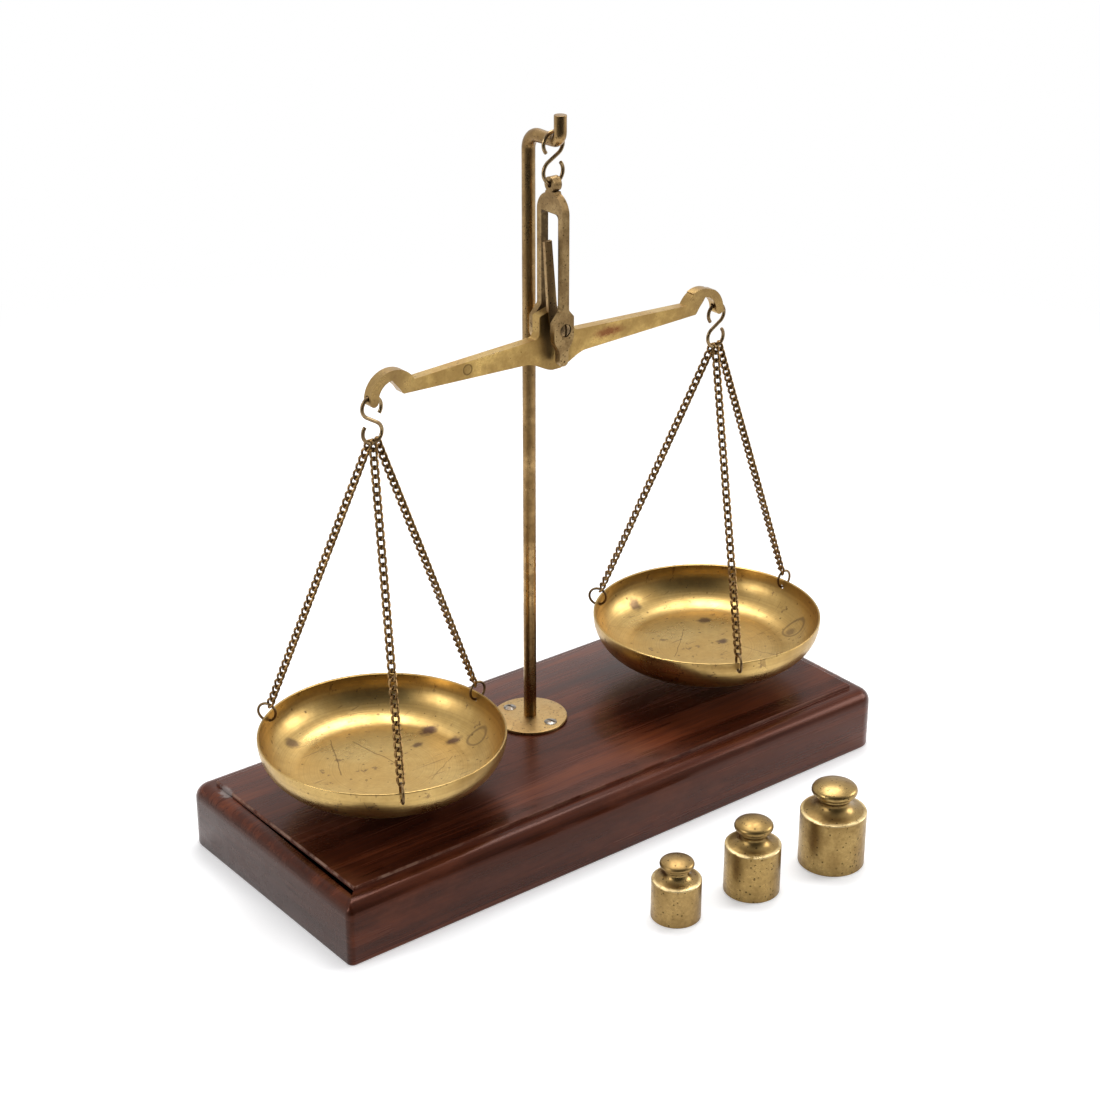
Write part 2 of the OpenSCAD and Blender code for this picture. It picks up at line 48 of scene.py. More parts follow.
# The camera stands to the left of the front and looks down on the balance
# through a long lens, as in the photograph.
camera_place = (-0.59035, -0.75125, 0.56605)
camera_azimuth = -38.29
camera_height_angle = 24.84
camera_roll = 0.06
camera_lens = 77.03

camera = bpy.data.objects.new("camera", bpy.data.cameras.new("camera"))
camera.data.sensor_width = 36
camera.data.lens = camera_lens
camera.data.clip_end = 20
facing = Euler((math.radians(90 - camera_height_angle), 0, math.radians(camera_azimuth)))
camera.matrix_world = (
    Matrix.Translation(camera_place)
    @ facing.to_matrix().to_4x4()
    @ Matrix.Rotation(math.radians(camera_roll), 4, "Z")
)
scene.collection.objects.link(camera)
scene.camera = camera


# The floor and the room: a pale sheet under soft lamps in a white room. Metal shows
# the same white room, with a dim side only where the camera and the maker stand.
def feed(node, **sockets):
    """Sets sockets. Each is named, or numbered as i0, and takes a value or an output."""
    for key, value in sockets.items():
        numbered = key[0] == "i" and key[1:].isdigit()
        socket = node.inputs[int(key[1:]) if numbered else key.replace("_", " ")]
        if isinstance(value, bpy.types.NodeSocket):
            node.id_data.links.new(value, socket)
        else:
            socket.default_value = value


def put(tree, kind, settings=None, **sockets):
    """Adds a node, makes its settings and feeds its sockets."""
    added = tree.nodes.new(kind)
    for key, value in (settings or {}).items():
        setattr(added, key, value)
    feed(added, **sockets)
    return added


def ramp(tree, factor, *stops):
    """A colour ramp; each stop is a place and a colour or a grey."""
    added = put(tree, "ShaderNodeValToRGB", Fac=factor)
    band = added.color_ramp
    while len(band.elements) < len(stops):
        band.elements.new(0.5)
    for element, (place, colour) in zip(band.elements, stops):
        element.position = place
        grey = isinstance(colour, (int, float))
        element.color = (colour, colour, colour, 1) if grey else (*colour, 1)
    return added.outputs[0]


def blended(tree, factor, one, two):
    """Mixes two colours, each given as three numbers or as an output."""
    one, two = (c if isinstance(c, bpy.types.NodeSocket) else (*c, 1) for c in (one, two))
    return put(tree, "ShaderNodeMix", {"data_type": "RGBA"}, i0=factor, i6=one, i7=two).outputs[2]


def maths(tree, how, one, two=0.0, three=0.0):
    return put(tree, "ShaderNodeMath", {"operation": how}, i0=one, i1=two, i2=three).outputs[0]


def vectors(tree, how, one, two=(0, 0, 0)):
    """Vector maths, of which a length and a dot product come out as a number."""
    added = put(tree, "ShaderNodeVectorMath", {"operation": how}, i0=one, i1=two)
    return added.outputs["Value" if how in ("LENGTH", "DOT_PRODUCT") else "Vector"]


def ranged(tree, value, low, high, first=0.0, last=1.0, how="LINEAR"):
    """Runs a number from one range to another and stops at the ends."""
    return put(tree, "ShaderNodeMapRange", {"interpolation_type": how}, Value=value, From_Min=low,
               From_Max=high, To_Min=first, To_Max=last).outputs[0]


def point(tree):
    """Where a point lies on its piece, unmoved by any turn of the piece."""
    return put(tree, "ShaderNodeTexCoord").outputs["Object"]


def shining(tree, strength):
    return put(tree, "ShaderNodeEmission", Color=(1, 1, 1, 1), Strength=strength).outputs[0]


def either(tree, factor, one, two):
    return put(tree, "ShaderNodeMixShader", i0=factor, i1=one, i2=two).outputs[0]


maker_side = (-0.55, -0.83, 0.1)
world = bpy.data.worlds.new("room")
scene.world = world
world.use_nodes = True
tree = world.node_tree
tree.nodes.clear()
rays = put(tree, "ShaderNodeLightPath").outputs
aim = put(tree, "ShaderNodeTexCoord").outputs["Generated"]
dim_side = ramp(tree, vectors(tree, "DOT_PRODUCT", aim, maker_side),
                (0.0, 1.0), (0.3, 0.7), (0.7, 0.1), (1.0, 0.04))
in_view = maths(tree, "MAXIMUM", rays["Is Camera Ray"], rays["Is Transmission Ray"])
in_metal = blended(tree, rays["Is Glossy Ray"], (0.5, 0.5, 0.51), dim_side)
shown = blended(tree, in_view, in_metal, (1, 1, 1))
room_light = put(tree, "ShaderNodeBackground", Color=shown, Strength=1.0)
put(tree, "ShaderNodeOutputWorld", Surface=room_light.outputs[0])

photo_side = Vector((-0.56, -0.71, 0.42))
sheet_grey, sheet_glow, sheet_half = 0.86, 0.27, 3
floor_shade = bpy.data.materials.new("floor")
floor_shade.use_nodes = True
tree = floor_shade.node_tree
tree.nodes.clear()
rays = put(tree, "ShaderNodeLightPath").outputs
here = point(tree)
paper = put(tree, "ShaderNodeBsdfDiffuse", Color=(sheet_grey, sheet_grey, sheet_grey, 1)).outputs[0]
lifted = put(tree, "ShaderNodeAddShader", i0=paper, i1=shining(tree, sheet_glow)).outputs[0]
# Away from the balance and its shadow the sheet is plain white, as the room is.
away = ranged(tree, vectors(tree, "LENGTH", here), 0.3, 0.8, how="SMOOTHSTEP")
sheet_look = either(tree, away, lifted, shining(tree, 1.0))
in_view = maths(tree, "MAXIMUM", rays["Is Camera Ray"], rays["Is Glossy Ray"])
in_view = maths(tree, "MAXIMUM", in_view, rays["Is Transmission Ray"])
sheet_look = either(tree, in_view, paper, sheet_look)
# The sheet ends toward the camera, and metal shows the dim side of the room past it.
nearer = vectors(tree, "DOT_PRODUCT", here, (photo_side.x, photo_side.y, 0))
past = maths(tree, "MULTIPLY", ranged(tree, nearer, 0.25, 0.45, how="SMOOTHSTEP"), rays["Is Glossy Ray"])
put(tree, "ShaderNodeOutputMaterial", Surface=either(tree, past, sheet_look, shining(tree, 0.05)))
shape = bmesh.new()
bmesh.ops.create_grid(shape, x_segments=1, y_segments=1, size=sheet_half)
sheet = bpy.data.meshes.new("floor")
shape.to_mesh(sheet)
shape.free()
sheet.materials.append(floor_shade)
floor = bpy.data.objects.new("floor", sheet)
scene.collection.objects.link(floor)


def soft_lamp(name, place, target, size, power):
    lamp = bpy.data.lights.new(name, "AREA")
    lamp.shape = "SQUARE"
    lamp.size = size
    lamp.energy = power
    held = bpy.data.objects.new(name, lamp)
    held.location = place
    held.rotation_euler = (Vector(target) - Vector(place)).to_track_quat("-Z", "Y").to_euler()
    scene.collection.objects.link(held)


soft_lamp("lamp_over", (0.35, 0.35, 1.35), (0, 0, 0.1), 0.8, 14)
soft_lamp("lamp_right", (1.3, -0.6, 0.75), (0, 0, 0.15), 0.7, 10)
soft_lamp("lamp_left", (-1.3, 0.1, 0.7), (0, 0, 0.15), 0.6, 7)


# The plinth: one block of mahogany with a moulding run round its top edge and a
# raised field, stained, varnished and worn pale along its edges.
MM = 0.001
plinth_low, plinth_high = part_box("base_plinth")
plinth_l, plinth_w, plinth_h = (plinth_high - plinth_low) / MM
moulding_r, field_step, field_inset, crisp_r, worn_r, foot_r, arris = 6.4, 1.8, 8.9, 3.0, 8.0, 1.1, 0.45
ledge_z = plinth_h - field_step


def group(name, inputs, output):
    """An empty node group with one output. A value of None gives a vector socket."""
    made = bpy.data.node_groups.new(name, "ShaderNodeTree")
    for key, value in inputs.items():
        kind = "NodeSocketVector" if value is None else "NodeSocketFloat"
        socket = made.interface.new_socket(name=key, in_out="INPUT", socket_type=kind)
        if value is not None:
            socket.default_value = value
    made.interface.new_socket(name=output, in_out="OUTPUT", socket_type="NodeSocketFloat")
    return made, made.nodes.new("NodeGroupInput").outputs, made.nodes.new("NodeGroupOutput").inputs[0]


def use(tree, made, **sockets):
    return put(tree, "ShaderNodeGroup", {"node_tree": made}, **sockets).outputs[0]


def noise(tree, where, scale, detail, rough=0.5, distort=0.0):
    return put(tree, "ShaderNodeTexNoise", Vector=where, Scale=scale, Detail=detail, Roughness=rough,
               Distortion=distort).outputs[0]


# Patches: soft-edged blotches, as of tarnish, stain or polish.
patches, given, out = group("patches", {"Vector": None, "Scale": 40.0, "Low": 0.4, "High": 0.6}, "Mask")
cloud = noise(patches, given["Vector"], given["Scale"], 6.0, 0.62)
patches.links.new(ranged(patches, cloud, given["Low"], given["High"], how="SMOOTHSTEP"), out)


def patchy(tree, where, scale, low, high):
    return use(tree, patches, Vector=where, Scale=scale, Low=low, High=high)


def tinted(tree, tone, mask, share, colour):
    """Lays a colour over a tone where the mask is, up to a share of it."""
    return blended(tree, maths(tree, "MULTIPLY", mask, share), tone, colour)


def stretched(tree, scale=(1, 1, 1), turn=(0, 0, 0), centre=(0, 0, 0)):
    """Object coordinates, moved to a centre, turned and stretched."""
    return put(tree, "ShaderNodeMapping", {"vector_type": "POINT"}, Rotation=turn, Scale=scale,
               Vector=vectors(tree, "SUBTRACT", point(tree), centre)).outputs[0]


def away_from(tree, centre, scale=(1, 1, 1)):
    """How far a point lies from a centre, with each axis stretched or squeezed."""
    return vectors(tree, "LENGTH", stretched(tree, scale, centre=centre))


def split(tree, vector):
    return put(tree, "ShaderNodeSeparateXYZ", Vector=vector).outputs


def surface(name):
    """A new material, its tree and its shader."""
    made = bpy.data.materials.new(name)
    made.use_nodes = True
    return made, made.node_tree, made.node_tree.nodes["Principled BSDF"]


mahogany, tree, shader = surface("mahogany")
here = point(tree)
place = split(tree, here)
long_grain = noise(tree, stretched(tree, (3.2, 90, 90)), 1.0, 7.0, 0.66, 0.5)
pores = noise(tree, stretched(tree, (45, 1300, 1300)), 1.0, 2.0, 0.6)
figure = ramp(tree, long_grain, (0.3, (0.012, 0.003, 0.0014)), (0.5, (0.052, 0.011, 0.004)),
              (0.68, (0.135, 0.032, 0.010)))
pore_mask = ramp(tree, pores, (0.36, 1.0), (0.5, 0.0))
tone = tinted(tree, figure, pore_mask, 0.6, (0.03, 0.008, 0.006))
bloom = patchy(tree, stretched(tree, (1, 2.2, 2.2)), 26.0, 0.45, 0.75)
tone = tinted(tree, tone, bloom, 0.3, (0.16, 0.042, 0.018))
# The ends show end grain, which is duller and finely lined across. Its tone is also darkened as painted shade
# on the end faces.
end_lines = noise(tree, stretched(tree, (40, 14, 420)), 1.0, 5.0, 0.6, 0.3)
end_grain_and_shade = ramp(tree, end_lines, (0.35, (0.012, 0.005, 0.0035)), (0.65, (0.042, 0.018, 0.013)))
outward = maths(tree, "ABSOLUTE", place[0])
at_end = ranged(tree, outward, plinth_high.x - 2.0 * MM, plinth_high.x - 0.3 * MM)
tone = blended(tree, at_end, tone, end_grain_and_shade)
# Worn edges and a painted highlight: the edge of the raised field is lightened, partly as lost stain and
# partly as a painted highlight, most of all at the left.
near_x = maths(tree, "SUBTRACT", outward, plinth_high.x - field_inset * MM)
near_y = maths(tree, "SUBTRACT", maths(tree, "ABSOLUTE", place[1]), plinth_high.y - field_inset * MM)
near = maths(tree, "ABSOLUTE", maths(tree, "MAXIMUM", near_x, near_y))
top_only = maths(tree, "GREATER_THAN", place[2], plinth_high.z - 1.2 * MM)
line = ramp(tree, maths(tree, "MULTIPLY", near, 1 / MM), (0.0, 1.0), (0.35, 0.7), (0.7, 0.0))
leftward = ranged(tree, place[0], -0.09, -0.145, 0.2, 1.0)
worn_and_highlit = maths(tree, "MULTIPLY", maths(tree, "MULTIPLY", line, top_only), leftward)
worn_and_highlit = maths(tree, "MULTIPLY", worn_and_highlit, patchy(tree, here, 90.0, 0.42, 0.6))
tone = tinted(tree, tone, worn_and_highlit, 0.6, (0.33, 0.21, 0.15))
# A grey chip on the step at the back of the left end.
chip = away_from(tree, (-0.1441, 0.0457, plinth_high.z - field_step * MM), (1, 0.6, 0.8))
ragged = maths(tree, "MULTIPLY", noise(tree, here, 420.0, 4.0), 0.9)
chip = maths(tree, "MULTIPLY_ADD", chip, 160.0, ragged)
tone = blended(tree, ramp(tree, chip, (0.72, 0.75), (0.95, 0.0)), tone, (0.22, 0.2, 0.19))
relief = put(tree, "ShaderNodeBump", Strength=0.25, Distance=0.0002, Height=pores)
feed(shader, Base_Color=tone, Roughness=ramp(tree, long_grain, (0.3, 0.2), (0.7, 0.34)),
     Specular_IOR_Level=0.32, Specular_Tint=(1.0, 0.38, 0.24, 1), Coat_Weight=0.06,
     Coat_Roughness=0.12, Normal=relief.outputs[0])


def made_piece(name, solid, body, finish, nodes, sharp=35, edge=0.0, segments=2):
    """Turns a solid in millimetres into a piece that rides on a body in place of CAD nodes."""
    bmesh.ops.scale(solid, vec=(MM, MM, MM), verts=solid.verts)
    mesh = bpy.data.meshes.new(name)
    solid.to_mesh(mesh)
    solid.free()
    mesh.materials.append(finish)
    mesh.shade_smooth()
    mesh.set_sharp_from_angle(angle=math.radians(sharp))
    piece = bpy.data.objects.new(name, mesh)
    scene.collection.objects.link(piece)
    if edge:
        soften = piece.modifiers.new("edges", "BEVEL")
        soften.width = edge * MM
        soften.segments = segments
        soften.limit_method = "ANGLE"
        soften.angle_limit = math.radians(sharp)
        soften.use_clamp_overlap = True
        soften.harden_normals = True
    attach(piece, body)
    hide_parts(*nodes)


def plan_loop(shape, inset, z):
    """The plinth's outline, drawn in by an inset at a height; its corners are rounded."""
    loop = []
    for side_x, side_y, corner_r, start in ((1, 1, worn_r, 0), (-1, 1, worn_r, 90),
                                            (-1, -1, crisp_r, 180), (1, -1, worn_r, 270)):
        r = max(corner_r - inset, 0.5)
        for k in range(9):
            turn = math.radians(start + 90 * k / 8)
            loop.append(shape.verts.new((side_x * (plinth_l / 2 - inset - r) + r * math.cos(turn),
                                         side_y * (plinth_w / 2 - inset - r) + r * math.sin(turn), z)))
    return [shape.edges.new((loop[k - 1], loop[k])) for k in range(len(loop))]


block = bmesh.new()
profile = [(foot_r, 0), (0.32, 0.32), (0, foot_r)]
profile += [(moulding_r * (1 - math.cos(math.pi * k / 28)),
             ledge_z - moulding_r * (1 - math.sin(math.pi * k / 28))) for k in range(15)]
profile += [(field_inset - 0.15, ledge_z), (field_inset, ledge_z + 0.15), (field_inset, plinth_h - arris),
            (field_inset + 0.13, plinth_h - 0.13), (field_inset + arris, plinth_h)]
loops = [plan_loop(block, inset, z) for inset, z in profile]
for under, above in zip(loops, loops[1:]):
    bmesh.ops.bridge_loops(block, edges=under + above)
bmesh.ops.contextual_create(block, geom=loops[0])
bmesh.ops.contextual_create(block, geom=loops[-1])
bmesh.ops.recalc_face_normals(block, faces=block.faces)
made_piece("plinth", block, "stand", mahogany, ["base_plinth"], sharp=50)


# The flange: a turned brass disc, laid on the field round the foot of the pillar.
# Its top is faintly domed, its rim rounded over, and it is held by two screws.
# Pits: small holes of uneven size, left by the casting and by age.
pits, given, out = group("pits", {"Vector": None, "Scale": 500.0, "Size": 0.2, "Share": 0.5}, "Mask")
cells = put(pits, "ShaderNodeTexVoronoi", Vector=given["Vector"], Scale=given["Scale"]).outputs
chosen = put(pits, "ShaderNodeSeparateColor", Color=cells["Color"]).outputs
pit = maths(pits, "LESS_THAN", cells["Distance"], maths(pits, "MULTIPLY", given["Size"], chosen[0]))
pits.links.new(maths(pits, "MULTIPLY", pit, maths(pits, "LESS_THAN", chosen[1], given["Share"])), out)

# Turned: the fine grooves that a lathe's tool leaves round an axis.
turned, given, out = group("turned", {"Vector": None, "Fineness": 3000.0}, "Height")
from_axis = vectors(turned, "LENGTH", vectors(turned, "MULTIPLY", given["Vector"], (1, 1, 0)))
grooves = put(turned, "ShaderNodeTexNoise", {"noise_dimensions": "1D"},
              W=maths(turned, "MULTIPLY", from_axis, given["Fineness"]), Scale=1.0, Detail=3.0, Roughness=0.7)
turned.links.new(grooves.outputs[0], out)


def as_metal(shader, tone, coarse, height, strength, depth):
    """Gives a shader a metal's colour, its roughness and a fine relief."""
    relief = put(shader.id_data, "ShaderNodeBump", Strength=strength, Distance=depth, Height=height)
    feed(shader, Base_Color=tone, Metallic=1.0, Roughness=coarse, Normal=relief.outputs[0])


def aged_brass(name, bright, dull, dark, tarnish=(0.42, 0.62), rough=(0.24, 0.45), pitted=0.4,
               pit_scale=900.0, turned_about=None, patch_scale=60.0):
    """Brass that is bright where it is handled, brown where it is not, and pitted."""
    made, tree, shader = surface(name)
    here = stretched(tree, centre=turned_about or (0, 0, 0))
    veil = patchy(tree, here, patch_scale, *tarnish)
    fine = patchy(tree, here, patch_scale * 9, 0.35, 0.7)
    tone = tinted(tree, blended(tree, veil, bright, dull), fine, 0.35, dark)
    holes = use(tree, pits, Vector=here, Scale=pit_scale, Size=0.42, Share=pitted)
    tone = tinted(tree, tone, holes, 0.75, (0.05, 0.03, 0.012))
    coarse = maths(tree, "MULTIPLY_ADD", fine, 0.08, ranged(tree, veil, 0, 1, *rough))
    height = maths(tree, "SUBTRACT", maths(tree, "MULTIPLY", fine, 0.25), holes)
    if turned_about is not None:
        rings = use(tree, turned, Vector=here, Fineness=2600.0)
        height = maths(tree, "MULTIPLY_ADD", rings, 0.6, height)
    as_metal(shader, tone, coarse, height, 0.35, 0.00008)
    return made


def middle(name):
    """A node's middle, in millimetres."""
    lowest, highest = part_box(name)
    return (lowest + highest) / 2 / MM


def corners(name):
    """A node's lowest and highest corners, in millimetres."""
    return [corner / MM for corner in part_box(name)]


def pen(start, moves):
    """Draws an outline: a pair goes straight to a point, and four numbers turn about one."""
    drawn = bmesh.new()
    last = drawn.verts.new((start[0], 0, start[1]))
    for move in moves:
        if len(move) == 2:
            last = bmesh.ops.extrude_vert_indiv(drawn, verts=[last])["verts"][0]
            last.co = (move[0], 0, move[1])
        else:
            swept = bmesh.ops.spin(drawn, geom=[last], cent=(move[0], 0, move[1]), axis=(0, -1, 0),
                                   angle=math.radians(move[2]), steps=move[3])
            last = [v for v in swept["geom_last"] if isinstance(v, bmesh.types.BMVert)][0]
    return drawn


def spun(drawn, axis=(0, 0, 1), steps=96):
    """Turns an outline about an axis into a closed solid."""
    bmesh.ops.spin(drawn, geom=drawn.verts[:] + drawn.edges[:], cent=(0, 0, 0), axis=axis,
                   angle=math.radians(360), steps=steps, use_merge=True)
    bmesh.ops.remove_doubles(drawn, verts=drawn.verts, dist=0.0005)
    bmesh.ops.recalc_face_normals(drawn, faces=drawn.faces)
    return drawn


def moved(shape, by):
    bmesh.ops.translate(shape, vec=by, verts=shape.verts)
    return shape


pillar = middle("pillar_flange")
flange_low, flange_high = corners("pillar_flange")
flange_r, flange_t = (flange_high.x - flange_low.x) / 2, flange_high.z - flange_low.z
flange_hole_r, rim_r = 2.9, 0.7
flange_brass = aged_brass("flange_brass", (0.52, 0.345, 0.14), (0.38, 0.24, 0.095), (0.22, 0.13, 0.055),
                          turned_about=Vector((pillar.x, pillar.y, 0)) * MM)
disc = spun(pen((flange_hole_r, 0), [
    (flange_r - 0.2, 0), (flange_r, 0.2), (flange_r, flange_t - rim_r),
    (flange_r - 0.55, flange_t - rim_r, 90, 5), (flange_hole_r, flange_t), (flange_hole_r, 0)]))
moved(disc, (pillar.x, pillar.y, flange_low.z))
made_piece("flange", disc, "stand", flange_brass, ["pillar_flange"])


# The flange's screws: two slotted steel screws with low domed heads, driven
# through the flange into the wood. They have gone dull and grey.
head_r, head_h, screw_l, screw_ring_r, screw_turn = 3.0, 0.8, 13, 11.8, -74
screw_steel, tree, shader = surface("screw_steel")
veil = patchy(tree, point(tree), 500.0, 0.4, 0.65)
feed(shader, Base_Color=blended(tree, veil, (0.30, 0.285, 0.26), (0.15, 0.11, 0.075)), Metallic=1.0,
     Roughness=ranged(tree, veil, 0, 1, 0.32, 0.5))


def rotated(shape, degrees, axis):
    bmesh.ops.rotate(shape, cent=(0, 0, 0), matrix=Matrix.Rotation(math.radians(degrees), 3, axis),
                     verts=shape.verts)
    return shape


def fitted(first, tools, how):
    """Joins a solid with others, or cuts them out of it."""
    held = []
    for k, solid in enumerate([first, *tools]):
        bmesh.ops.recalc_face_normals(solid, faces=solid.faces)
        mesh = bpy.data.meshes.new(f"tool_{k}")
        solid.to_mesh(mesh)
        solid.free()
        held.append(bpy.data.objects.new(f"tool_{k}", mesh))
        scene.collection.objects.link(held[-1])
    for tool in held[1:]:
        step = held[0].modifiers.new("fit", "BOOLEAN")
        step.operation = how
        step.solver = "EXACT"
        step.object = tool
    bpy.context.view_layer.update()
    result = bmesh.new()
    result.from_mesh(held[0].evaluated_get(bpy.context.evaluated_depsgraph_get()).to_mesh())
    for tool in held:
        mesh = tool.data
        bpy.data.objects.remove(tool)
        bpy.data.meshes.remove(mesh)
    return result


def slotted_head(radius, height, slot_w, slot_deep, below):
    """A screw's head, facing up, with its slot along X and a shank below."""
    dome = (radius * radius + height * height) / (2 * height)
    sweep = math.degrees(math.asin(radius / dome))
    head = spun(pen((0, -below), [(radius * 0.5, -below), (radius * 0.5, 0), (radius, 0),
                                  (0, height - dome, sweep, 8)]), steps=48)
    slot = bmesh.new()
    bmesh.ops.create_cube(slot, size=1)
    bmesh.ops.scale(slot, vec=(4 * radius, slot_w, 2 * slot_deep), verts=slot.verts)
    return fitted(head, [moved(slot, (0, 0, height))], "DIFFERENCE")


def joined(whole, other):
    """Adds a second shape to a first, as it stands."""
    loose = bpy.data.meshes.new("loose")
    other.to_mesh(loose)
    other.free()
    whole.from_mesh(loose)
    bpy.data.meshes.remove(loose)


heads = bmesh.new()
for aimed in (screw_turn, screw_turn + 180):
    head = rotated(slotted_head(head_r, head_h, 0.9, 0.55, screw_l), aimed, "Z")
    joined(heads, moved(head, (pillar.x + screw_ring_r * math.cos(math.radians(aimed)),
                               pillar.y + screw_ring_r * math.sin(math.radians(aimed)), flange_high.z)))
made_piece("flange_screw_heads", heads, "stand", screw_steel, ["flange_screws"], edge=0.1)


# The pillar: one brass rod, bent forward over its foot into an arm and turned up at
# the end. It is brown with age, darker in patches.
rod_d, arm_end_d, bend_r, upturn_r, upturn_h = 5.9, 5.5, 7.0, 4.5, 11.6
rod_low, rod_high = corners("pillar_rod")
tip_y = rod_low.y + arm_end_d / 2
arm_z = rod_high.z - upturn_h
pillar_brass = aged_brass("pillar_brass", (0.39, 0.25, 0.105), (0.25, 0.152, 0.058), (0.11, 0.06, 0.025),
                          tarnish=(0.35, 0.6), rough=(0.2, 0.34), pitted=0.25, patch_scale=45.0)


def carried(shape, edges, move, scale=1.0):
    """Runs a wire's end section on in a straight line."""
    grown = bmesh.ops.extrude_edge_only(shape, edges=edges)
    ends = [v for v in grown["geom"] if isinstance(v, bmesh.types.BMVert)]
    bmesh.ops.translate(shape, vec=Vector(move), verts=ends)
    if scale != 1.0:
        centre = sum((v.co for v in ends), Vector()) / len(ends)
        bmesh.ops.scale(shape, vec=(scale, scale, scale), space=Matrix.Translation(-centre), verts=ends)
    return [e for e in grown["geom"] if isinstance(e, bmesh.types.BMEdge)
            and all(v in ends for v in e.verts)]


def bent(shape, edges, centre, axis, angle, steps):
    """Runs a wire's end section on round a bend."""
    swept = bmesh.ops.spin(shape, geom=edges, cent=centre, axis=axis, angle=math.radians(angle), steps=steps)
    return [e for e in swept["geom_last"] if isinstance(e, bmesh.types.BMEdge)]


def capped(shape):
    """Closes a wire's open ends."""
    bmesh.ops.holes_fill(shape, edges=[e for e in shape.edges if len(e.link_faces) == 1], sides=0)
    bmesh.ops.recalc_face_normals(shape, faces=shape.faces)
    return shape


rod = bmesh.new()
bmesh.ops.create_circle(rod, cap_ends=False, segments=48, radius=rod_d / 2)
moved(rod, (pillar.x, pillar.y, rod_low.z))
end = carried(rod, rod.edges[:], (0, 0, arm_z - bend_r - rod_low.z))
end = bent(rod, end, (pillar.x, pillar.y - bend_r, arm_z - bend_r), (1, 0, 0), 90, 16)
end = carried(rod, end, (0, tip_y + upturn_r - pillar.y + bend_r, 0), arm_end_d / rod_d)
end = bent(rod, end, (pillar.x, tip_y + upturn_r, arm_z + upturn_r), (1, 0, 0), -90, 12)
end = carried(rod, end, (0, 0, rod_high.z - arm_z - upturn_r))
made_piece("pillar", capped(rod), "stand", pillar_brass, ["pillar_rod"], edge=0.25)


# The top hook: brass wire bent to an S, with one lobe over the pillar's arm and the
# shackle's eye in the other.
wire_d, hook_mouth = 1.65, 42
hook_brass = aged_brass("hook_brass", (0.34, 0.24, 0.12), (0.22, 0.14, 0.07), (0.10, 0.06, 0.03),
                        tarnish=(0.4, 0.6), rough=(0.24, 0.4), pitted=0.3, patch_scale=220.0)


def s_hook(name, body, height, lobe, flip):
    """An S hook of a height between its outermost wire centres, with two round lobes."""
    lean = math.asin(lobe / (height / 2 - lobe))
    reach = lobe / math.tan(lean)
    hook = bmesh.new()
    bmesh.ops.create_circle(hook, cap_ends=False, segments=20, radius=wire_d / 2)
    start = hook.edges[:]
    for way in (1, -1):
        end = carried(hook, start, (0, 0, way * reach))
        bent(hook, end, (way * lobe, 0, way * reach), (0, 1, 0), 180 + math.degrees(lean) + hook_mouth, 56)
    bmesh.ops.remove_doubles(hook, verts=hook.verts, dist=0.001)
    rotated(capped(hook), -math.degrees(lean), "Y")
    if flip:
        bmesh.ops.scale(hook, vec=(-1, 1, 1), verts=hook.verts)
        bmesh.ops.reverse_faces(hook, faces=hook.faces)
    moved(hook, middle(name))
    made_piece(name + "_wire", hook, body, hook_brass, [name], edge=0.15)


top_hook_h, top_lobe = 22.2, 5.15
s_hook("top_s_hook", "suspension", top_hook_h, top_lobe, True)


# The shackle: one brass casting, filed up. An eye hangs on the top hook, two prongs
# frame the pointer, and two cheeks with tapered tails hold the beam's pivot screws.
pivot = middle("pivot_screws")
shackle_low, shackle_high = corners("shackle")
eye_r, eye_t, eye_hole_r = 3.3, 4.2, 1.45
eye_z = shackle_high.z - eye_r
shackle_w, shackle_t, prong_w = shackle_high.y - shackle_low.y, 3.6, 3.2
cheek_rise, cheek_half_w, cheek_shift, cheek_slope, tail_half_w = 9.4, 5.3, 0.8, 1.15, 2.35
crown_half_w, crown_drop, window_drop, window_r, hollow_r = 2.9, 3.0, 12.2, 2, 2
bore_r, counterbore_r, counterbore_deep, dimple_r = 1.72, 2.95, 1.1, 0.55
shackle_out = shackle_w / 2
window_half_w = shackle_out - prong_w
window_top = eye_z - window_drop
cheek_top = pivot.z + cheek_rise
shackle_brass = aged_brass("shackle_brass", (0.385, 0.26, 0.115), (0.25, 0.158, 0.066), (0.10, 0.058, 0.025),
                           tarnish=(0.38, 0.62), rough=(0.3, 0.46), pitted=0.35, patch_scale=110.0)


def retoned(finish, mask, colour):
    """Lays one more colour over a finish where a mask is."""
    shader = finish.node_tree.nodes["Principled BSDF"]
    feed(shader, Base_Color=blended(finish.node_tree, mask,
                                    shader.inputs["Base Color"].links[0].from_socket, colour))


# The inner faces between the prongs are darkened, partly by grime and partly as painted shade between the
# parts.
tree = shackle_brass.node_tree
here = point(tree)
place = split(tree, here)
across = maths(tree, "ABSOLUTE", maths(tree, "SUBTRACT", place[1], pivot.y * MM))
inner = maths(tree, "MULTIPLY", maths(tree, "LESS_THAN", across, (window_half_w + 0.2) * MM),
              maths(tree, "LESS_THAN", place[2], (window_top + 0.2) * MM))
grime_and_shade = maths(tree, "MULTIPLY_ADD", patchy(tree, here, 300.0, 0.2, 0.6), 0.35, 0.55)
retoned(shackle_brass, maths(tree, "MULTIPLY", inner, grime_and_shade), (0.05, 0.03, 0.014))


def closed(drawn):
    """Joins the outline's two loose ends, if it has them, and fills it."""
    loose = [v for v in drawn.verts if len(v.link_edges) == 1]
    if loose:
        bmesh.ops.contextual_create(drawn, geom=loose)
    bmesh.ops.contextual_create(drawn, geom=drawn.edges[:])
    return drawn


def mirrored(drawn):
    """Doubles a half outline about the upright line and closes it."""
    bmesh.ops.mirror(drawn, geom=drawn.verts[:] + drawn.edges[:], axis="X", merge_dist=0.001)
    bmesh.ops.remove_doubles(drawn, verts=drawn.verts, dist=0.0005)
    return closed(drawn)


